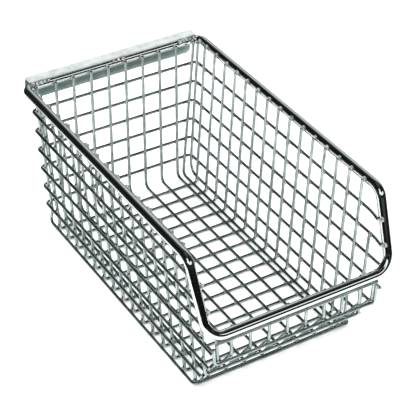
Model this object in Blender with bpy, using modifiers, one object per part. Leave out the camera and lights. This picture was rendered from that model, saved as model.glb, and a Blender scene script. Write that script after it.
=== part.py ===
"""Wire mesh stacking and hanging bin with a low front, as one object per wire.

A heavy rim wire runs round the open top and dips to a low front bar. Thin wires make the
basket: lengthwise wires down the back, along the floor and up the front lip, transverse
hoops under them, and horizontal wires round the outside. A bent steel strip on the back
of the rim hangs the bin on a rail.

Metres, +Z up, the front faces -Y. The origin is at the middle of the bin's base.
"""

import bpy
import math
from mathutils import Vector

# Overall size and wire sizes
WIDTH = 0.2129            # across the rim
LENGTH = 0.3698           # front of the rim to the back of the hanger
HEIGHT = 0.1753           # base to the top of the hanger
RIM_WIRE = 0.0095
MESH_WIRE = 0.0032
GAP = 0.0003              # left between wires that touch
SHEET = 0.0020            # hanger strip thickness

# Wire spacings
LENGTHWISE_PITCH = 0.0200
HOOP_PITCH = 0.0202
SIDE_PITCH = 0.0233
LENGTHWISE_COUNT = 10
HOOP_COUNT = 17
SIDE_COUNT = 6

# Basket shape
BASE_HALF_WIDTH = 0.0840  # hoop centreline, where the sides would meet the floor
EDGE_FLOOR_X = 0.0772     # the outermost lengthwise wires, along the floor
LOWEST_SIDE_Z = 0.0254
FIRST_HOOP_Y = 0.1495
CORNER_WIRE_Y = 0.1636    # base wire's uprights in the back corners, beside the outermost lengthwise wires
BACK_WALL_Y = 0.1671      # centreline of the lengthwise wires up the back
FLOOR_FRONT_Y = -0.1323   # where the floor of lengthwise wires turns up into the lip
LIP_ANGLE = math.radians(53.8)
FRONT_BAR_Z = 0.0946
FRONT_BAR_HALF_WIDTH = 0.0980
RIM_SLOPE_TOP_Y = -0.1517

# Bend radii, on the wires' centrelines
HOOP_BEND = 0.0040
LENGTHWISE_BEND = 0.006
KNEE_BEND = 0.009
SIDE_CORNER = 0.005
SIDE_END_BEND = 0.012     # where the two top side wires turn in to lie against the rim's inner side
BASE_CORNER = 0.006
BASE_TURN_Z = 0.0194      # where the base wire's uprights start to step outwards
BASE_TURN_BEND = 0.010
BASE_WIRE_Z = 0.0045
BASE_FRONT_GAP = 0.0016   # lets the base wire's corner clear the bend of the hoop behind it
RIM_BACK_CORNER = 0.0118
RIM_TOP_BEND = 0.013
RIM_FRONT_CORNER = 0.018

# Hanger strip
HANGER_HALF_LENGTH = 0.0964
HANGER_DROP = 0.0281      # top of the plate to the lower edge of the flange
HANGER_FRONT_Y = 0.1706   # front edge of the plate
HANGER_CORNER = 0.005
HANGER_BEND = 0.0025

BEVEL_RESOLUTION = 2      # eight sides
FACET_TURN = math.radians(22.5)  # turns a side, not an edge, to face down
ARC_STEP = math.radians(22.5)

MESH_R = MESH_WIRE / 2
RIM_R = RIM_WIRE / 2
LAYER = MESH_WIRE + GAP                 # between the centrelines of crossing wires
RIM_OFFSET = RIM_R + MESH_R + GAP       # between the rim and the wires inside it
HALF_LENGTH = LENGTH / 2
HOOP_FLOOR_Z = MESH_R * math.cos(FACET_TURN)
FLOOR_Z = HOOP_FLOOR_Z + LAYER
RIM_Z = HEIGHT - SHEET - GAP - RIM_R
RIM_HALF_WIDTH = WIDTH / 2 - RIM_R
RIM_BACK_Y = BACK_WALL_Y + RIM_OFFSET
FRONT_BAR_Y = -HALF_LENGTH + RIM_R
LIP_Y = FRONT_BAR_Y + RIM_OFFSET        # centreline of the lengthwise wires up the lip
TOP_HALF_WIDTH = RIM_HALF_WIDTH - RIM_OFFSET
SIDE_TAPER = (TOP_HALF_WIDTH - BASE_HALF_WIDTH) / (RIM_Z - HOOP_FLOOR_Z)
WIRE_TOP_Z = RIM_Z + 0.001
SIDE_END_REACH = 0.0012                 # how far the two top side wires pass the rim's centreline
SIDE_END_SET = 0.015                    # length of their set-in ends
TAIL = 0.003                            # how far a wire runs past the last wire it is welded to
LIP_SLOPE = math.tan(LIP_ANGLE)


def hoop_x(z):
    """Half width of a hoop's straight side at height z."""
    return BASE_HALF_WIDTH + SIDE_TAPER * (z - HOOP_FLOOR_Z)


def side_wire_z(m):
    """Height of the m-th horizontal side wire, counted from the lowest, 0."""
    return LOWEST_SIDE_Z + m * SIDE_PITCH


def rim_slope_y(z):
    """Where the rim's sloping run is at height z."""
    return RIM_SLOPE_TOP_Y + (FRONT_BAR_Y - RIM_SLOPE_TOP_Y) * (RIM_Z - z) / (RIM_Z - FRONT_BAR_Z)


def rim_slope_x(z):
    """Half width of the rim's sloping run at height z."""
    return RIM_HALF_WIDTH + (FRONT_BAR_HALF_WIDTH - RIM_HALF_WIDTH) * (RIM_Z - z) / (RIM_Z - FRONT_BAR_Z)


def lip_outer_y(z):
    """The outer layer of the slanted part of the lip: under the lengthwise wires by one layer."""
    return FLOOR_FRONT_Y - (z - FLOOR_Z) / LIP_SLOPE - LAYER / math.sin(LIP_ANGLE)


def lip_outer_z(y):
    """Height of the outer layer of the slanted part of the lip at y, never under the floor."""
    return max(HOOP_FLOOR_Z, FLOOR_Z + (FLOOR_FRONT_Y - LAYER / math.sin(LIP_ANGLE) - y) * LIP_SLOPE)


def rounded(corners, radii, closed=False):
    """Points along a polyline whose corners are turned into arcs of the given radii."""
    corners = [Vector(c) for c in corners]
    count = len(corners)
    points = []
    for i, corner in enumerate(corners):
        radius = radii[i]
        if radius == 0 or (not closed and i in (0, count - 1)):
            points.append(corner)
            continue
        to_last = (corners[i - 1] - corner).normalized()
        to_next = (corners[(i + 1) % count] - corner).normalized()
        half = to_last.angle(to_next) / 2
        centre = corner + (to_last + to_next).normalized() * radius / math.sin(half)
        start = corner + to_last * radius / math.tan(half) - centre
        side = -to_last * radius
        turn = math.pi - 2 * half
        steps = max(2, math.ceil(turn / ARC_STEP))
        for step in range(steps + 1):
            angle = turn * step / steps
            points.append(centre + start * math.cos(angle) + side * math.sin(angle))
    return points


def make_material(name, colour, metallic, roughness):
    material = bpy.data.materials.new(name)
    material.use_nodes = True
    shader = material.node_tree.nodes["Principled BSDF"]
    shader.inputs["Base Color"].default_value = (*colour, 1)
    shader.inputs["Metallic"].default_value = metallic
    shader.inputs["Roughness"].default_value = roughness
    return material


def make_wire(name, points, radius, closed=False):
    """A round wire along the points, with filled ends."""
    curve = bpy.data.curves.new(name, "CURVE")
    curve.dimensions = "3D"
    curve.bevel_depth = radius
    curve.bevel_resolution = BEVEL_RESOLUTION
    curve.use_fill_caps = not closed
    spline = curve.splines.new("POLY")
    spline.points.add(len(points) - 1)
    for spline_point, point in zip(spline.points, points):
        spline_point.co = (*point, 1)
        spline_point.tilt = FACET_TURN
    spline.use_cyclic_u = closed
    wire = bpy.data.objects.new(name, curve)
    bin_parts.objects.link(wire)
    wire.parent = bin_root
    return wire


def add_rim():
    corners = [
        (RIM_HALF_WIDTH, RIM_BACK_Y, RIM_Z),
        (RIM_HALF_WIDTH, RIM_SLOPE_TOP_Y, RIM_Z),
        (FRONT_BAR_HALF_WIDTH, FRONT_BAR_Y, FRONT_BAR_Z),
        (-FRONT_BAR_HALF_WIDTH, FRONT_BAR_Y, FRONT_BAR_Z),
        (-RIM_HALF_WIDTH, RIM_SLOPE_TOP_Y, RIM_Z),
        (-RIM_HALF_WIDTH, RIM_BACK_Y, RIM_Z),
    ]
    radii = [RIM_BACK_CORNER, RIM_TOP_BEND, RIM_FRONT_CORNER]
    rim = make_wire("rim_wire", rounded(corners, radii + radii[::-1], True), RIM_R, True)
    rim.data.materials.append(make_material("rim_chrome", (0.78, 0.80, 0.80), 1.0, 0.12))


def add_lengthwise_wires():
    """Down the back wall, along the floor, up the slanted lip and up behind the front bar."""
    material = make_material("lengthwise_chrome", (0.72, 0.75, 0.74), 1.0, 0.16)
    knee_z = FLOOR_Z + (FLOOR_FRONT_Y - LIP_Y) * LIP_SLOPE
    profile = [
        (BACK_WALL_Y, WIRE_TOP_Z),
        (BACK_WALL_Y, FLOOR_Z),
        (FLOOR_FRONT_Y, FLOOR_Z),
        (LIP_Y, knee_z),
        (LIP_Y, FRONT_BAR_Z),
    ]
    edge_xs = [
        TOP_HALF_WIDTH - LAYER,
        EDGE_FLOOR_X,
        EDGE_FLOOR_X,
        hoop_x(knee_z) - LAYER,
        hoop_x(FRONT_BAR_Z) - LAYER,
    ]
    for i in range(LENGTHWISE_COUNT):
        x = (i - (LENGTHWISE_COUNT - 1) / 2) * LENGTHWISE_PITCH
        edge = i in (0, LENGTHWISE_COUNT - 1)
        side = math.copysign(1, x)
        corners = [(side * edge_x if edge else x, y, z) for edge_x, (y, z) in zip(edge_xs, profile)]
        radii = [0, LENGTHWISE_BEND, LENGTHWISE_BEND, KNEE_BEND, 0]
        wire = make_wire(f"lengthwise_wire_{i + 1:02d}", rounded(corners, radii), MESH_R)
        wire.data.materials.append(material)


def add_hoops():
    """From the rim down one side, under the floor or the lip, and up the other side.

    The two front hoops stop short of the sloping rim, just past the side wires they reach.
    """
    material = make_material("hoop_chrome", (0.68, 0.72, 0.71), 1.0, 0.18)
    short_tops = {HOOP_COUNT - 2: side_wire_z(4) + TAIL, HOOP_COUNT - 1: side_wire_z(2) + TAIL}
    for k in range(HOOP_COUNT):
        y = FIRST_HOOP_Y - k * HOOP_PITCH
        low = lip_outer_z(y)
        top = short_tops.get(k, WIRE_TOP_Z)
        corners = [(-hoop_x(top), y, top), (-hoop_x(low), y, low), (hoop_x(low), y, low), (hoop_x(top), y, top)]
        wire = make_wire(f"hoop_wire_{k + 1:02d}", rounded(corners, [0, HOOP_BEND, HOOP_BEND, 0]), MESH_R)
        wire.data.materials.append(material)


def side_wire_front_y(m):
    """Where a side wire ends: at the lip, at the slanted lip, in the open, or beside the rim."""
    z = side_wire_z(m)
    if m == 3:
        return FIRST_HOOP_Y - 16 * HOOP_PITCH + TAIL
    if z > FRONT_BAR_Z:
        return rim_slope_y(z) - SIDE_END_REACH
    return max(lip_outer_y(z), LIP_Y - LAYER)


def add_side_wires():
    """Horizontal wires along both sides and round the back, outside the hoops."""
    material = make_material("side_chrome", (0.68, 0.72, 0.71), 1.0, 0.18)
    back_y = BACK_WALL_Y + LAYER
    for m in range(SIDE_COUNT):
        z = side_wire_z(m)
        x = hoop_x(z) + LAYER
        front_y = side_wire_front_y(m)
        corners = [(-x, front_y, z), (-x, back_y, z), (x, back_y, z), (x, front_y, z)]
        radii = [0, SIDE_CORNER, SIDE_CORNER, 0]
        if m > 3:
            end_x = rim_slope_x(z) - RIM_OFFSET
            turn_y = front_y + SIDE_END_SET
            corners = [(-end_x, front_y, z), (-x, turn_y, z), *corners[1:3], (x, turn_y, z), (end_x, front_y, z)]
            radii = [0, SIDE_END_BEND, SIDE_CORNER, SIDE_CORNER, SIDE_END_BEND, 0]
        wire = make_wire(f"side_wire_{m + 1}", rounded(corners, radii), MESH_R)
        wire.data.materials.append(material)


def add_base_wire():
    """Down both back corners, forward along the bottom edges and across the front of the floor."""
    x = hoop_x(BASE_WIRE_Z) + LAYER + GAP
    front_y = lip_outer_y(BASE_WIRE_Z) - BASE_FRONT_GAP
    left = [
        (-hoop_x(WIRE_TOP_Z), CORNER_WIRE_Y, WIRE_TOP_Z),
        (-hoop_x(BASE_TURN_Z), CORNER_WIRE_Y, BASE_TURN_Z),
        (-x, CORNER_WIRE_Y, BASE_WIRE_Z),
        (-x, front_y, BASE_WIRE_Z),
    ]
    right = [(-cx, cy, cz) for cx, cy, cz in left[::-1]]
    radii = [0, BASE_TURN_BEND, BASE_CORNER, BASE_CORNER]
    wire = make_wire("base_wire", rounded(left + right, radii + radii[::-1]), MESH_R)
    wire.data.materials.append(make_material("base_chrome", (0.68, 0.72, 0.71), 1.0, 0.18))


def add_lip_wire():
    """A short transverse wire on the outside of the lip, just under the front bar."""
    z = FRONT_BAR_Z - 0.0119
    half = hoop_x(z) - LAYER + MESH_R
    wire = make_wire("lip_wire", [(-half, LIP_Y - LAYER, z), (half, LIP_Y - LAYER, z)], MESH_R)
    wire.data.materials.append(make_material("lip_chrome", (0.78, 0.80, 0.80), 1.0, 0.14))


def add_hanger():
    """A strip lying on the back of the rim, its rear edge bent down into a flange."""
    outer_y = HALF_LENGTH - SHEET / 2
    top_z = HEIGHT - SHEET / 2
    low_z = HEIGHT - HANGER_DROP
    corner_z = low_z + HANGER_CORNER
    bent = rounded([(0, HANGER_FRONT_Y, top_z), (0, outer_y, top_z), (0, outer_y, corner_z)], [0, HANGER_BEND, 0])
    rows = [(p.y, p.z, HANGER_HALF_LENGTH) for p in bent]
    for step in (1, 2, 3, 4):
        angle = step * ARC_STEP
        z = corner_z - HANGER_CORNER * math.sin(angle)
        rows.append((outer_y, z, HANGER_HALF_LENGTH - HANGER_CORNER * (1 - math.cos(angle))))
    points = [(side * half, y, z) for y, z, half in rows for side in (-1, 1)]
    faces = [(2 * i, 2 * i + 1, 2 * i + 3, 2 * i + 2) for i in range(len(rows) - 1)]
    mesh = bpy.data.meshes.new("hanger_strip")
    mesh.from_pydata(points, [], faces)
    strip = bpy.data.objects.new("hanger_strip", mesh)
    bin_parts.objects.link(strip)
    strip.parent = bin_root
    solidify = strip.modifiers.new("thickness", "SOLIDIFY")
    solidify.thickness = SHEET
    solidify.offset = 0
    solidify.use_even_offset = True
    mesh.materials.append(make_material("hanger_zinc", (0.62, 0.66, 0.65), 1.0, 0.35))


for old in list(bpy.data.objects):
    bpy.data.objects.remove(old, do_unlink=True)
bin_parts = bpy.data.collections.new("wire_mesh_bin")
bpy.context.scene.collection.children.link(bin_parts)
bin_root = bpy.data.objects.new("wire_mesh_bin", None)
bin_parts.objects.link(bin_root)
add_rim()
add_lengthwise_wires()
add_hoops()
add_side_wires()
add_base_wire()
add_lip_wire()
add_hanger()
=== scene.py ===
"""Chrome wire stacking and hanging bin: smooth plated wires, welds and a zinc-plated hanger strip
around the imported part, on a pale studio floor."""

import bpy
import bmesh
import math
from mathutils import Matrix, Vector


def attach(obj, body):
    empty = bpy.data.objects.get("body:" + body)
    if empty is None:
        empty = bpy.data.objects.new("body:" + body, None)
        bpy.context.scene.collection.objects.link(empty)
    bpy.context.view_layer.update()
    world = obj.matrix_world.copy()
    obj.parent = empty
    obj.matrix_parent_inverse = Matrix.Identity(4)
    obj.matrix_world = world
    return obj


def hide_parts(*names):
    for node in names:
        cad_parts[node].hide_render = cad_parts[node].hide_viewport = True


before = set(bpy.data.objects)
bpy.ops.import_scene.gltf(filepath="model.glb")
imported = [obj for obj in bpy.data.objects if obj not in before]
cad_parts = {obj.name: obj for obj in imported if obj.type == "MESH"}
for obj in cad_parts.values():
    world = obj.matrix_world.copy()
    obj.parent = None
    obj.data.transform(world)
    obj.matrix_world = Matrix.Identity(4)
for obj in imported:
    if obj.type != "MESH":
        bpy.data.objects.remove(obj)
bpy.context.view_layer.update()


def add_object(name, data):
    made = bpy.data.objects.new(name, data)
    bpy.context.scene.collection.objects.link(made)
    return made


# Camera
AZIMUTH = math.radians(-30.91)
ELEVATION = math.radians(35.72)
CAMERA_PLACE = (-0.6277, -1.0639, 0.9781)
FOCAL_PIXELS = 1546.0
IMAGE_PIXELS = 416.0
SENSOR_MM = 36.0
camera_data = bpy.data.cameras.new("camera")
camera_data.sensor_width = SENSOR_MM
camera_data.lens = FOCAL_PIXELS * SENSOR_MM / IMAGE_PIXELS
camera_data.clip_start = 0.05
camera_data.clip_end = 40.0
camera_data.dof.use_dof = False
camera = add_object("camera", camera_data)
right = Vector((math.cos(AZIMUTH), math.sin(AZIMUTH), 0.0))
toward = Vector((math.sin(AZIMUTH) * math.cos(ELEVATION), -math.cos(AZIMUTH) * math.cos(ELEVATION),
                 math.sin(ELEVATION)))
up = toward.cross(right)
camera.matrix_world = Matrix((
    (right.x, up.x, toward.x, CAMERA_PLACE[0]),
    (right.y, up.y, toward.y, CAMERA_PLACE[1]),
    (right.z, up.z, toward.z, CAMERA_PLACE[2]),
    (0.0, 0.0, 0.0, 1.0),
))
bpy.context.scene.camera = camera

# The part's own sizes, in metres
LENGTH = 0.3698
HEIGHT = 0.1753
WIDTH = 0.2129
MESH_R = 0.0016
RIM_R = 0.00475
GAP = 0.0003
SHEET = 0.0020
LENGTHWISE_PITCH = 0.0200
HOOP_PITCH = 0.0202
SIDE_PITCH = 0.0233
LENGTHWISE_COUNT = 10
HOOP_COUNT = 17
SIDE_COUNT = 6
BASE_HALF_WIDTH = 0.0840
EDGE_FLOOR_X = 0.0772
LOWEST_SIDE_Z = 0.0254
FIRST_HOOP_Y = 0.1495
CORNER_WIRE_Y = 0.1636
BACK_WALL_Y = 0.1671
FLOOR_FRONT_Y = -0.1323
LIP_ANGLE = math.radians(53.8)
FRONT_BAR_Z = 0.0946
FRONT_BAR_HALF_WIDTH = 0.0980
RIM_SLOPE_TOP_Y = -0.1517
HOOP_BEND = 0.0040
LENGTHWISE_BEND = 0.006
KNEE_BEND = 0.009
SIDE_CORNER = 0.005
SIDE_END_BEND = 0.060
SIDE_END_REACH = 0.0012
SIDE_END_SET = 0.015
BASE_CORNER = 0.006
BASE_TURN_Z = 0.0194
BASE_TURN_BEND = 0.010
BASE_WIRE_Z = 0.0045
BASE_FRONT_GAP = 0.0016
RIM_BACK_CORNER = 0.0118
RIM_TOP_BEND = 0.013
RIM_FRONT_CORNER = 0.018
HANGER_HALF_LENGTH = 0.0964
HANGER_DROP = 0.0281
HANGER_FRONT_Y = 0.1706
HANGER_CORNER = 0.005
HANGER_CORNER_STEPS = 8
HANGER_BEND = 0.0025
HANGER_EDGE = 0.0004
ARC_STEP = math.radians(6)

LAYER = 2 * MESH_R + GAP
RIM_OFFSET = RIM_R + MESH_R + GAP
HOOP_FLOOR_Z = MESH_R * math.cos(math.radians(22.5))
FLOOR_Z = HOOP_FLOOR_Z + LAYER
RIM_Z = HEIGHT - SHEET - GAP - RIM_R
RIM_HALF_WIDTH = WIDTH / 2 - RIM_R
RIM_BACK_Y = BACK_WALL_Y + RIM_OFFSET
FRONT_BAR_Y = -LENGTH / 2 + RIM_R
LIP_Y = FRONT_BAR_Y + RIM_OFFSET
TOP_HALF_WIDTH = RIM_HALF_WIDTH - RIM_OFFSET
SIDE_TAPER = (TOP_HALF_WIDTH - BASE_HALF_WIDTH) / (RIM_Z - HOOP_FLOOR_Z)
WIRE_TOP_Z = RIM_Z + 0.001
TAIL = 0.003      # how far a wire runs past the last wire it is welded to
LIP_SLOPE = math.tan(LIP_ANGLE)
KNEE_Z = FLOOR_Z + (FLOOR_FRONT_Y - LIP_Y) * LIP_SLOPE
LIP_WIRE_DROP = 0.0119
WIRE_ROUNDNESS = 5      # bevel resolutions
RIM_ROUNDNESS = 9


def hoop_x(z):
    return BASE_HALF_WIDTH + SIDE_TAPER * (z - HOOP_FLOOR_Z)


def side_wire_z(m):
    return LOWEST_SIDE_Z + m * SIDE_PITCH


def hoop_y(k):
    return FIRST_HOOP_Y - k * HOOP_PITCH


def rim_slope_y(z):
    return RIM_SLOPE_TOP_Y + (FRONT_BAR_Y - RIM_SLOPE_TOP_Y) * (RIM_Z - z) / (RIM_Z - FRONT_BAR_Z)


def rim_slope_x(z):
    return RIM_HALF_WIDTH + (FRONT_BAR_HALF_WIDTH - RIM_HALF_WIDTH) * (RIM_Z - z) / (RIM_Z - FRONT_BAR_Z)


def lip_outer_y(z):
    return FLOOR_FRONT_Y - (z - FLOOR_Z) / LIP_SLOPE - LAYER / math.sin(LIP_ANGLE)


def lip_outer_z(y):
    return max(HOOP_FLOOR_Z, FLOOR_Z + (FLOOR_FRONT_Y - LAYER / math.sin(LIP_ANGLE) - y) * LIP_SLOPE)


def side_wire_front_y(m):
    z = side_wire_z(m)
    if m == 3:
        return hoop_y(16) + TAIL
    if z > FRONT_BAR_Z:
        return rim_slope_y(z) - SIDE_END_REACH
    return max(lip_outer_y(z), LIP_Y - LAYER)


def edge_x(z, back):
    """Half width of the outermost lengthwise wire at height z, on the back wall or on the lip."""
    if back:
        return EDGE_FLOOR_X + (TOP_HALF_WIDTH - LAYER - EDGE_FLOOR_X) * (z - FLOOR_Z) / (WIRE_TOP_Z - FLOOR_Z)
    knee_x = hoop_x(KNEE_Z) - LAYER
    if z < KNEE_Z:
        return EDGE_FLOOR_X + (knee_x - EDGE_FLOOR_X) * (z - FLOOR_Z) / (KNEE_Z - FLOOR_Z)
    return hoop_x(z) - LAYER


def lengthwise_x(i, z, back):
    x = (i - (LENGTHWISE_COUNT - 1) / 2) * LENGTHWISE_PITCH
    if i in (0, LENGTHWISE_COUNT - 1):
        return math.copysign(edge_x(z, back), x)
    return x


def rounded(corners, radii, closed=False):
    """Points along a polyline whose corners are turned into fine arcs of the given radii."""
    corners = [Vector(c) for c in corners]
    count = len(corners)
    points = []
    for i, corner in enumerate(corners):
        radius = radii[i]
        if radius == 0 or (not closed and i in (0, count - 1)):
            points.append(corner)
            continue
        to_last = (corners[i - 1] - corner).normalized()
        to_next = (corners[(i + 1) % count] - corner).normalized()
        half = to_last.angle(to_next) / 2
        centre = corner + (to_last + to_next).normalized() * radius / math.sin(half)
        start = corner + to_last * radius / math.tan(half) - centre
        side = -to_last * radius
        turn = math.pi - 2 * half
        steps = max(2, math.ceil(turn / ARC_STEP))
        for step in range(steps + 1):
            angle = turn * step / steps
            points.append(centre + start * math.cos(angle) + side * math.sin(angle))
    return points


# Materials
def new_material(name):
    material = bpy.data.materials.new(name)
    material.use_nodes = True
    nodes = material.node_tree.nodes
    nodes.clear()
    output = nodes.new("ShaderNodeOutputMaterial")
    shader = nodes.new("ShaderNodeBsdfPrincipled")
    material.node_tree.links.new(shader.outputs["BSDF"], output.inputs["Surface"])
    return material, nodes, material.node_tree.links, shader


def noise(nodes, links, vector, scale, detail=2.0):
    texture = nodes.new("ShaderNodeTexNoise")
    texture.inputs["Scale"].default_value = scale
    texture.inputs["Detail"].default_value = detail
    links.new(vector, texture.inputs["Vector"])
    return texture.outputs["Fac"]


def remap(nodes, links, value, to_low, to_high, from_low=0.0, from_high=1.0):
    node = nodes.new("ShaderNodeMapRange")
    node.inputs["From Min"].default_value = from_low
    node.inputs["From Max"].default_value = from_high
    node.inputs["To Min"].default_value = to_low
    node.inputs["To Max"].default_value = to_high
    links.new(value, node.inputs["Value"])
    return node.outputs["Result"]


def tones(nodes, links, fac, stops):
    """A colour ramp through (position, colour) stops."""
    ramp_node = nodes.new("ShaderNodeValToRGB")
    elements = ramp_node.color_ramp.elements
    while len(elements) < len(stops):
        elements.new(0.5)
    for element, (position, colour) in zip(elements, stops):
        element.position = position
        element.color = (*colour, 1)
    links.new(fac, ramp_node.inputs["Fac"])
    return ramp_node.outputs["Color"]


def roughen(nodes, links, shader, fac, strength, distance):
    bump = nodes.new("ShaderNodeBump")
    bump.inputs["Strength"].default_value = strength
    bump.inputs["Distance"].default_value = distance
    links.new(fac, bump.inputs["Height"])
    links.new(bump.outputs["Normal"], shader.inputs["Normal"])


def chrome(name, light, dark, edge, low, high, scale=90.0, bump=0.02, metallic=1.0):
    """Bright plating: patchy tint, slightly uneven polish and faint draw marks."""
    material, nodes, links, shader = new_material(name)
    coords = nodes.new("ShaderNodeTexCoord")
    patches = noise(nodes, links, coords.outputs["Object"], scale, 3.0)
    tint = tones(nodes, links, patches, ((0.35, dark), (0.65, light)))
    links.new(tint, shader.inputs["Base Color"])
    polish = noise(nodes, links, coords.outputs["Object"], scale * 7)
    links.new(remap(nodes, links, polish, low, high, 0.3, 0.7), shader.inputs["Roughness"])
    roughen(nodes, links, shader, polish, bump, 0.0004)
    shader.inputs["Metallic"].default_value = metallic
    shader.inputs["Specular Tint"].default_value = (*edge, 1)
    return material


def zinc(name):
    """Zinc-plated sheet: soft spangle, streaks along the strip, satin sheen, and painted shade by height:
    darker down the flange under the plate, lighter on the top face and at the flange's bottom edge.
    """
    material, nodes, links, shader = new_material(name)
    coords = nodes.new("ShaderNodeTexCoord")
    spangle = nodes.new("ShaderNodeTexVoronoi")
    spangle.inputs["Scale"].default_value = 130.0
    links.new(coords.outputs["Object"], spangle.inputs["Vector"])
    cloud = noise(nodes, links, coords.outputs["Object"], 22.0, 4.0)
    stretch = nodes.new("ShaderNodeMapping")
    stretch.inputs["Scale"].default_value = (12.0, 900.0, 900.0)
    links.new(coords.outputs["Object"], stretch.inputs["Vector"])
    streaks = noise(nodes, links, stretch.outputs["Vector"], 1.0, 3.0)
    mix = nodes.new("ShaderNodeMix")
    mix.data_type = "FLOAT"
    mix.inputs["Factor"].default_value = 0.35
    links.new(cloud, mix.inputs["A"])
    links.new(spangle.outputs["Distance"], mix.inputs["B"])
    tint = tones(nodes, links, mix.outputs["Result"], (
        (0.30, (0.50, 0.55, 0.54)),
        (0.62, (0.72, 0.76, 0.75)),
    ))
    # Painted shade: the colour darkens down the flange where the plate shades it, teal low down and olive
    # higher up, and stays light on the top face and at the flange's bottom edge
    split = nodes.new("ShaderNodeSeparateXYZ")
    links.new(coords.outputs["Object"], split.inputs["Vector"])
    level = remap(nodes, links, split.outputs["Z"], 0.0, 1.0, HEIGHT - HANGER_DROP, HEIGHT)
    shade = tones(nodes, links, level, (
        (0.00, (0.72, 0.80, 0.78)),
        (0.18, (0.30, 0.40, 0.38)),
        (0.45, (0.24, 0.31, 0.27)),
        (0.75, (0.26, 0.28, 0.20)),
        (0.90, (0.62, 0.64, 0.60)),
        (1.00, (0.90, 0.90, 0.90)),
    ))
    painted_shade_mix = nodes.new("ShaderNodeMix")
    painted_shade_mix.data_type = "RGBA"
    painted_shade_mix.blend_type = "MULTIPLY"
    painted_shade_mix.inputs["Factor"].default_value = 1.0
    links.new(tint, painted_shade_mix.inputs["A"])
    links.new(shade, painted_shade_mix.inputs["B"])
    links.new(painted_shade_mix.outputs["Result"], shader.inputs["Base Color"])
    links.new(remap(nodes, links, streaks, 0.34, 0.52), shader.inputs["Roughness"])
    roughen(nodes, links, shader, streaks, 0.15, 0.0003)
    shader.inputs["Metallic"].default_value = 0.45
    return material


def floor_material():
    material, nodes, links, shader = new_material("studio_floor")
    coords = nodes.new("ShaderNodeTexCoord")
    clouds = noise(nodes, links, coords.outputs["Object"], 1.5)
    tint = tones(nodes, links, clouds, ((0.0, (0.90, 0.90, 0.90)), (1.0, (0.93, 0.93, 0.93))))
    links.new(tint, shader.inputs["Base Color"])
    shader.inputs["Roughness"].default_value = 0.9
    shader.inputs["Specular IOR Level"].default_value = 0.1
    shader.inputs["Emission Color"].default_value = (1, 1, 1, 1)
    shader.inputs["Emission Strength"].default_value = 0.30
    return material


RIM_CHROME = chrome("rim_chrome", (0.72, 0.74, 0.74), (0.64, 0.67, 0.67), (0.15, 0.18, 0.18), 0.04, 0.10,
                    scale=30.0)
WIRE_CHROME = chrome("wire_chrome", (0.42, 0.47, 0.46), (0.25, 0.30, 0.29), (0.04, 0.07, 0.07), 0.05, 0.12)
WELD_CHROME = chrome("weld_chrome", (0.80, 0.83, 0.82), (0.16, 0.19, 0.19), (0.20, 0.26, 0.26), 0.08, 0.25,
                     scale=420.0, bump=0.30, metallic=0.55)
ZINC = zinc("hanger_zinc")


def dress(piece, slot_name, *replaced):
    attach(piece, "root")
    if replaced:
        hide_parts(*replaced)


def wire(node, points, radius, slot_name, material, closed=False, roundness=WIRE_ROUNDNESS):
    """A smooth round wire that stands for one node of the part."""
    curve = bpy.data.curves.new("smooth_" + node, "CURVE")
    curve.dimensions = "3D"
    curve.bevel_depth = radius
    curve.bevel_resolution = roundness
    curve.use_fill_caps = not closed
    spline = curve.splines.new("POLY")
    spline.points.add(len(points) - 1)
    for spline_point, point in zip(spline.points, points):
        spline_point.co = (*point, 1)
    spline.use_cyclic_u = closed
    spline.use_smooth = True
    curve.materials.append(material)
    dress(add_object("smooth_" + node, curve), slot_name, node)


welds = bmesh.new()


def weld(place, size, turn=Matrix.Identity(3)):
    """A small flattened nugget of fused metal; size is its three half widths before turning."""
    stretch = Matrix.Diagonal((*size, 1))
    matrix = Matrix.Translation(place) @ turn.to_4x4() @ stretch
    bmesh.ops.create_icosphere(welds, subdivisions=2, radius=1.0, matrix=matrix)


# Rim
rim_corners = [
    (RIM_HALF_WIDTH, RIM_BACK_Y, RIM_Z),
    (RIM_HALF_WIDTH, RIM_SLOPE_TOP_Y, RIM_Z),
    (FRONT_BAR_HALF_WIDTH, FRONT_BAR_Y, FRONT_BAR_Z),
    (-FRONT_BAR_HALF_WIDTH, FRONT_BAR_Y, FRONT_BAR_Z),
    (-RIM_HALF_WIDTH, RIM_SLOPE_TOP_Y, RIM_Z),
    (-RIM_HALF_WIDTH, RIM_BACK_Y, RIM_Z),
]
rim_radii = [RIM_BACK_CORNER, RIM_TOP_BEND, RIM_FRONT_CORNER]
rim_line = rounded(rim_corners, rim_radii + rim_radii[::-1], True)
wire("rim_wire", rim_line, RIM_R, "rim_chrome", RIM_CHROME, closed=True, roundness=RIM_ROUNDNESS)

# Lengthwise wires
for i in range(LENGTHWISE_COUNT):
    profile = [(BACK_WALL_Y, WIRE_TOP_Z, True), (BACK_WALL_Y, FLOOR_Z, True), (FLOOR_FRONT_Y, FLOOR_Z, True),
               (LIP_Y, KNEE_Z, False), (LIP_Y, FRONT_BAR_Z, False)]
    corners = [(lengthwise_x(i, z, back), y, z) for y, z, back in profile]
    line = rounded(corners, [0, LENGTHWISE_BEND, LENGTHWISE_BEND, KNEE_BEND, 0])
    wire(f"lengthwise_wire_{i + 1:02d}", line, MESH_R, "lengthwise_chrome", WIRE_CHROME)

# Hoops
hoop_tops = {HOOP_COUNT - 2: side_wire_z(4) + TAIL, HOOP_COUNT - 1: side_wire_z(2) + TAIL}
for k in range(HOOP_COUNT):
    y = hoop_y(k)
    low = lip_outer_z(y)
    top = hoop_tops.get(k, WIRE_TOP_Z)
    corners = [(-hoop_x(top), y, top), (-hoop_x(low), y, low), (hoop_x(low), y, low), (hoop_x(top), y, top)]
    line = rounded(corners, [0, HOOP_BEND, HOOP_BEND, 0])
    wire(f"hoop_wire_{k + 1:02d}", line, MESH_R, "hoop_chrome", WIRE_CHROME)

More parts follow.
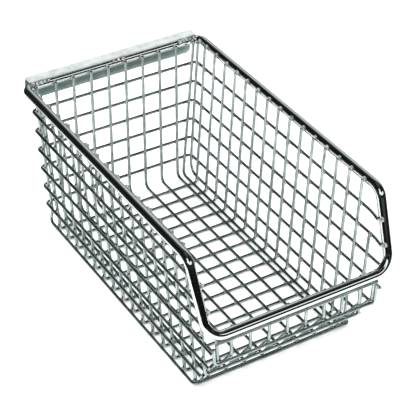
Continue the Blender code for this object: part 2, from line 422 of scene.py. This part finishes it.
# Side wires
side_back_y = BACK_WALL_Y + LAYER
for m in range(SIDE_COUNT):
    z = side_wire_z(m)
    x = hoop_x(z) + LAYER
    front_y = side_wire_front_y(m)
    corners = [(-x, front_y, z), (-x, side_back_y, z), (x, side_back_y, z), (x, front_y, z)]
    radii = [0, SIDE_CORNER, SIDE_CORNER, 0]
    if m > 3:
        end_x = rim_slope_x(z) - RIM_OFFSET
        turn_y = front_y + SIDE_END_SET
        corners = [(-end_x, front_y, z), (-x, turn_y, z), *corners[1:3], (x, turn_y, z), (end_x, front_y, z)]
        radii = [0, SIDE_END_BEND, SIDE_CORNER, SIDE_CORNER, SIDE_END_BEND, 0]
    wire(f"side_wire_{m + 1}", rounded(corners, radii), MESH_R, "side_chrome", WIRE_CHROME)

# Base wire
base_x = hoop_x(BASE_WIRE_Z) + LAYER + GAP
base_front_y = lip_outer_y(BASE_WIRE_Z) - BASE_FRONT_GAP
base_left = [
    (-hoop_x(WIRE_TOP_Z), CORNER_WIRE_Y, WIRE_TOP_Z),
    (-hoop_x(BASE_TURN_Z), CORNER_WIRE_Y, BASE_TURN_Z),
    (-base_x, CORNER_WIRE_Y, BASE_WIRE_Z),
    (-base_x, base_front_y, BASE_WIRE_Z),
]
base_right = [(-bx, by, bz) for bx, by, bz in base_left[::-1]]
base_radii = [0, BASE_TURN_BEND, BASE_CORNER, BASE_CORNER]
base_line = rounded(base_left + base_right, base_radii + base_radii[::-1])
wire("base_wire", base_line, MESH_R, "base_chrome", WIRE_CHROME)

# Lip wire
lip_wire_z = FRONT_BAR_Z - LIP_WIRE_DROP
lip_wire_half = hoop_x(lip_wire_z) - LAYER + MESH_R
lip_line = [(x, LIP_Y - LAYER, lip_wire_z) for x in (-lip_wire_half, lip_wire_half)]
wire("lip_wire", lip_line, MESH_R, "lip_chrome", WIRE_CHROME)

# Hanger strip
hanger_outer_y = LENGTH / 2 - SHEET / 2
hanger_top_z = HEIGHT - SHEET / 2
hanger_corner_z = HEIGHT - HANGER_DROP + HANGER_CORNER
bent = rounded([(0, HANGER_FRONT_Y, hanger_top_z), (0, hanger_outer_y, hanger_top_z),
                (0, hanger_outer_y, hanger_corner_z)], [0, HANGER_BEND, 0])
rows = [(p.y, p.z, HANGER_HALF_LENGTH) for p in bent]
for step in range(1, HANGER_CORNER_STEPS + 1):
    angle = math.pi / 2 * step / HANGER_CORNER_STEPS
    rows.append((hanger_outer_y, hanger_corner_z - HANGER_CORNER * math.sin(angle),
                 HANGER_HALF_LENGTH - HANGER_CORNER * (1 - math.cos(angle))))
hanger_mesh = bpy.data.meshes.new("smooth_hanger")
hanger_mesh.from_pydata([(side * half, y, z) for y, z, half in rows for side in (-1, 1)], [],
                        [(2 * i, 2 * i + 1, 2 * i + 3, 2 * i + 2) for i in range(len(rows) - 1)])
hanger_mesh.materials.append(ZINC)
hanger = add_object("smooth_hanger", hanger_mesh)
solidify = hanger.modifiers.new("thickness", "SOLIDIFY")
solidify.thickness = SHEET
solidify.offset = 0
solidify.use_even_offset = True
edge_round = hanger.modifiers.new("edges", "BEVEL")
edge_round.width = HANGER_EDGE
edge_round.segments = 2
edge_round.limit_method = "ANGLE"
edge_round.angle_limit = math.radians(50)
dress(hanger, "hanger_zinc", "hanger_strip")

# Welds where wires cross
FLAT = (0.0021, 0.0021, 0.0011)
SIDE_ON = (0.0011, 0.0021, 0.0021)
BACK_ON = (0.0021, 0.0011, 0.0021)
RIM_NUGGET = (0.0018, 0.0021, 0.0026)
RIM_NUGGET_Z = RIM_Z + 0.0014
SLOPE_NUGGET = (0.0025, 0.0028, 0.0026)
BACK_RIM_NUGGET = (0.0021, 0.0012, 0.0026)
FRONT_BAR_NUGGET = (0.0021, 0.0012, 0.0024)
LOW_HOOP_Z = HOOP_FLOOR_Z + 0.001      # a hoop under this lies on the floor of the bin
WELD_REACH = 0.002
lip_turn = Matrix.Rotation(-LIP_ANGLE, 3, "X")
for k in range(HOOP_COUNT):
    y = hoop_y(k)
    low = lip_outer_z(y)
    for i in range(LENGTHWISE_COUNT):
        if low > LOW_HOOP_Z:
            place = Vector((0, y, low)) + lip_turn @ Vector((0, 0, LAYER / 2))
            place.x = lengthwise_x(i, place.z, False)
            weld(place, FLAT, lip_turn)
        else:
            weld((lengthwise_x(i, FLOOR_Z, True), y, FLOOR_Z - LAYER / 2), FLAT)
    for side in (-1, 1):
        for m in range(SIDE_COUNT):
            z = side_wire_z(m)
            if low < z < hoop_tops.get(k, WIRE_TOP_Z) and y > side_wire_front_y(m) - WELD_REACH:
                weld((side * (hoop_x(z) + LAYER / 2), y, z), SIDE_ON)
        if low < LOW_HOOP_Z:
            weld((side * (hoop_x(BASE_WIRE_Z) + LAYER / 2), y, BASE_WIRE_Z + 0.0004), SIDE_ON)
        if k < HOOP_COUNT - 2:
            weld((side * (RIM_HALF_WIDTH - RIM_R), y, RIM_NUGGET_Z), RIM_NUGGET)
for side in (-1, 1):
    for m in range(SIDE_COUNT):
        z = side_wire_z(m)
        weld((side * (hoop_x(z) + LAYER / 2), CORNER_WIRE_Y, z), SIDE_ON)
    weld((side * (RIM_HALF_WIDTH - RIM_R), CORNER_WIRE_Y, RIM_NUGGET_Z), RIM_NUGGET)
    for m in (4, 5):
        z = side_wire_z(m)
        weld((side * (rim_slope_x(z) - 0.85 * RIM_R), rim_slope_y(z) - 0.50 * RIM_R, z + 0.15 * RIM_R),
             SLOPE_NUGGET)
for i in range(LENGTHWISE_COUNT):
    for m in range(SIDE_COUNT):
        z = side_wire_z(m)
        weld((lengthwise_x(i, z, True), BACK_WALL_Y + LAYER / 2, z), BACK_ON)
    weld((lengthwise_x(i, RIM_Z, True), RIM_BACK_Y - RIM_R, RIM_Z - 0.0004), BACK_RIM_NUGGET)
    weld((lengthwise_x(i, FRONT_BAR_Z, False), LIP_Y - MESH_R, FRONT_BAR_Z - 0.0012), FRONT_BAR_NUGGET)
    weld((lengthwise_x(i, lip_wire_z, False), LIP_Y - LAYER / 2, lip_wire_z), BACK_ON)

# Welds that hold the hanger strip on the rim, each a run of uneven beads: its centre and half length
HANGER_WELDS = ((-0.0850, 0.0085), (0.0035, 0.0050), (0.0865, 0.0105))
BEAD_PITCH = 0.0018
for centre, half in HANGER_WELDS:
    count = max(3, round(half / BEAD_PITCH))
    for j in range(count):
        x = centre + half * (2 * j / (count - 1) - 1)
        swell = 0.8 + 0.35 * abs(math.sin(2.7 * j + 90 * centre))
        y = HANGER_FRONT_Y - 0.0012 + 0.0007 * math.sin(1.9 * j + 50 * centre)
        weld((x, y, RIM_Z + 0.0040), (0.0021 * swell, 0.0018 * swell, 0.0019 * swell),
             Matrix.Rotation(0.5 * math.sin(2.1 * j), 3, "Z"))
weld_mesh = bpy.data.meshes.new("welds")
for face in welds.faces:
    face.smooth = True
welds.to_mesh(weld_mesh)
welds.free()
weld_mesh.materials.append(WELD_CHROME)
dress(add_object("welds", weld_mesh), "hoop_chrome")

# Floor: a round table top, and a ring round it that the plating doesn't mirror
FLOOR = floor_material()
TABLE_RADIUS = 0.55
FLOOR_RADIUS = 8.0
FLOOR_SIDES = 96
FLOOR_DROP = Vector((0, 0, 0.0002))
turns = [2 * math.pi * i / FLOOR_SIDES for i in range(FLOOR_SIDES)]
ring = [Vector((math.cos(turn), math.sin(turn), 0)) for turn in turns]
for name, inner, outer in (("floor", 0.0, TABLE_RADIUS), ("outer_floor", TABLE_RADIUS, FLOOR_RADIUS)):
    floor_mesh = bpy.data.meshes.new(name)
    points = [p * outer - FLOOR_DROP for p in ring]
    if inner == 0:
        faces = [tuple(range(FLOOR_SIDES))]
    else:
        points += [p * inner - FLOOR_DROP for p in ring]
        following = [(i + 1) % FLOOR_SIDES for i in range(FLOOR_SIDES)]
        faces = [(i, j, FLOOR_SIDES + j, FLOOR_SIDES + i) for i, j in enumerate(following)]
    floor_mesh.from_pydata(points, [], faces)
    floor_mesh.materials.append(FLOOR)
    floor = add_object(name, floor_mesh)
    floor.visible_glossy = inner == 0

# Lamps light the floor and the strip, but aren't mirrored
LIGHT_AIM = Vector((0, 0, 0.05))
for name, place, size, power in (
    ("overhead", (0.0, 0.0, 2.4), 3.4, 90.0),
    ("left_fill", (-2.0, -1.0, 1.4), 1.6, 8.0),
):
    light_data = bpy.data.lights.new(name, "AREA")
    light_data.size = size
    light_data.energy = power
    light = add_object(name, light_data)
    light.location = place
    light.rotation_euler = (LIGHT_AIM - Vector(place)).to_track_quat("-Z", "Y").to_euler()
    light.visible_glossy = False

world = bpy.data.worlds.new("studio")
world.use_nodes = True
bpy.context.scene.world = world
world_nodes = world.node_tree.nodes
world_links = world.node_tree.links
world_nodes.clear()
world_output = world_nodes.new("ShaderNodeOutputWorld")
background = world_nodes.new("ShaderNodeBackground")
world_links.new(background.outputs["Background"], world_output.inputs["Surface"])
world_coords = world_nodes.new("ShaderNodeTexCoord")
direction = world_coords.outputs["Generated"]
world_split = world_nodes.new("ShaderNodeSeparateXYZ")
world_links.new(direction, world_split.inputs["Vector"])


def ramp(fac, stops):
    node = world_nodes.new("ShaderNodeValToRGB")
    node.color_ramp.interpolation = "EASE"
    while len(node.color_ramp.elements) < len(stops):
        node.color_ramp.elements.new(0.5)
    for element, (position, value) in zip(node.color_ramp.elements, stops):
        element.position = position
        element.color = (value, value * 1.03, value * 1.02, 1)
    world_links.new(fac, node.inputs["Fac"])
    return node.outputs["Color"]


def operation(kind, a, b):
    node = world_nodes.new("ShaderNodeVectorMath")
    node.operation = kind
    world_links.new(a, node.inputs[0])
    if isinstance(b, tuple):
        node.inputs[1].default_value = b
    else:
        world_links.new(b, node.inputs[1])
    return node.outputs["Value"] if kind == "DOT_PRODUCT" else node.outputs["Vector"]


# What the plating mirrors: a dim room with a pale line above the table all round, a soft window at the
# back right, a long strip light over the front and a round lamp at its left end
WINDOW_DIRECTION = (0.695, 0.675, 0.248)
STRIP_DIRECTION = (-0.10, -1.0, 0.0)
LAMP_DIRECTION = (-0.40, -0.55, 0.73)
height = world_nodes.new("ShaderNodeMapRange")
height.inputs["From Min"].default_value = -1.0
height.inputs["From Max"].default_value = 1.0
world_links.new(world_split.outputs["Z"], height.inputs["Value"])
level = height.outputs["Result"]
DIM = 0.008
room = ramp(level, ((0.0, DIM), (0.52, DIM), (0.56, 0.08), (0.60, DIM), (0.94, DIM), (1.0, 0.08)))
window_side = operation("DOT_PRODUCT", direction, WINDOW_DIRECTION)
window = ramp(window_side, ((0.0, 0.0), (0.40, 0.0), (0.74, 0.06), (0.93, 0.80), (1.0, 0.80)))
strip_level = ramp(level, ((0.0, 0.0), (0.69, 0.0), (0.71, 1.1), (0.81, 1.1), (0.83, 0.0), (1.0, 0.0)))
strip_side = operation("DOT_PRODUCT", direction, STRIP_DIRECTION)
strip_span = ramp(strip_side, ((0.0, 0.0), (0.50, 0.0), (0.60, 1.1), (1.0, 1.1)))
strip = operation("MULTIPLY", strip_level, strip_span)
lamp_side = operation("DOT_PRODUCT", direction, LAMP_DIRECTION)
lamp = ramp(lamp_side, ((0.0, 0.0), (0.965, 0.0), (0.975, 1.2), (1.0, 1.2)))
glow = operation("ADD", operation("ADD", room, window), operation("ADD", strip, lamp))
paths = world_nodes.new("ShaderNodeLightPath")
seen = world_nodes.new("ShaderNodeMix")
seen.data_type = "RGBA"
world_links.new(paths.outputs["Is Glossy Ray"], seen.inputs["Factor"])
seen.inputs["A"].default_value = (0.90, 0.91, 0.91, 1)      # what lights the scene and fills the picture
world_links.new(glow, seen.inputs["B"])
world_links.new(seen.outputs["Result"], background.inputs["Color"])
background.inputs["Strength"].default_value = 1.0

bpy.context.scene.view_settings.view_transform = "Standard"
